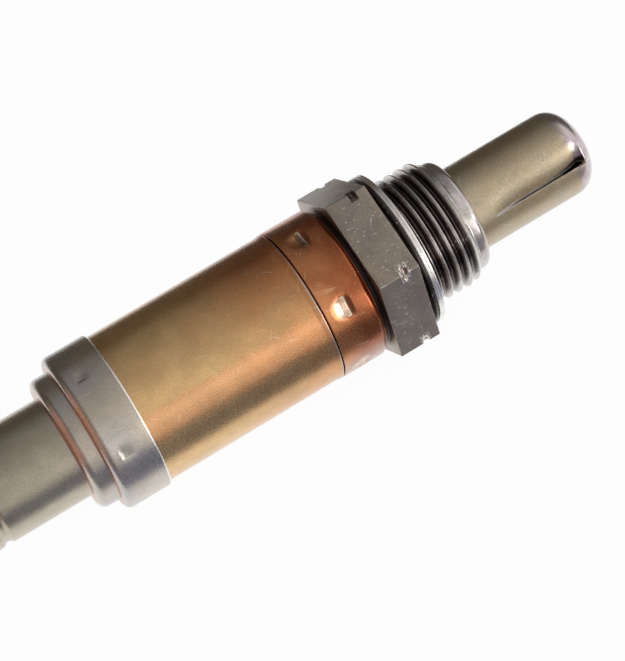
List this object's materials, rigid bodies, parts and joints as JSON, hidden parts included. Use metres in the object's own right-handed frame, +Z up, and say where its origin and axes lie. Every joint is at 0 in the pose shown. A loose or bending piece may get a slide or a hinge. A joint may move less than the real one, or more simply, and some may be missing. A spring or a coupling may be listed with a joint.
{
  "type": "oxygen sensor",
  "caption": "Screw-in exhaust gas oxygen sensor with a hexagon, sealing ring, slotted protection tube and stepped sleeve.",
  "frame": {"origin": "on the sensor's axis, in the plane of the sealing ring's front face, where the thread begins", "axes": "+X along the axis towards the probe's tip; +Z up, square to two of the hexagon's flats; the sensor lies on its lower flat and the tail cap"},
  "size_m": [0.0953, 0.0254, 0.022],
  "materials": {
    "housing_steel": "dull machined steel, warm gunmetal with fine nicks",
    "gasket_steel": "bright plated steel",
    "guard_steel": "matt stainless steel with a straw heat tint",
    "copper_tint_steel": "satin stainless steel with a copper-red heat tint",
    "gold_tint_steel": "satin stainless steel with a golden-bronze heat tint",
    "cap_steel": "satin stainless steel, warm grey",
    "grommet_rubber": "matt black heat-proof rubber",
    "sensor_ceramic": "off-white fired ceramic",
    "talc_powder": "pressed mineral powder",
    "bush_ceramic": "matt white ceramic",
    "heater_ceramic": "pale grey ceramic",
    "contact_alloy": "nickel alloy strip"
  },
  "bodies": {
    "root": {"hex_housing": "housing_steel", "gasket_ring": "gasket_steel", "protection_tube": "guard_steel", "front_sleeve": "copper_tint_steel", "main_sleeve": "gold_tint_steel", "tail_cap": "cap_steel", "grommet": "grommet_rubber", "sensor_thimble": "sensor_ceramic", "seal_washer": "gasket_steel", "talc_pack": "talc_powder", "insulating_bush": "bush_ceramic", "crimp_ring": "gasket_steel", "heater_rod": "heater_ceramic", "ceramic_holder": "bush_ceramic", "outer_contact": "contact_alloy", "inner_contact": "contact_alloy", "heater_contact_left": "contact_alloy", "heater_contact_right": "contact_alloy", "lead_crimp_1": "contact_alloy", "lead_crimp_2": "contact_alloy", "lead_crimp_3": "contact_alloy", "lead_crimp_4": "contact_alloy", "disc_spring": "gasket_steel"}
  },
  "joints": []
}
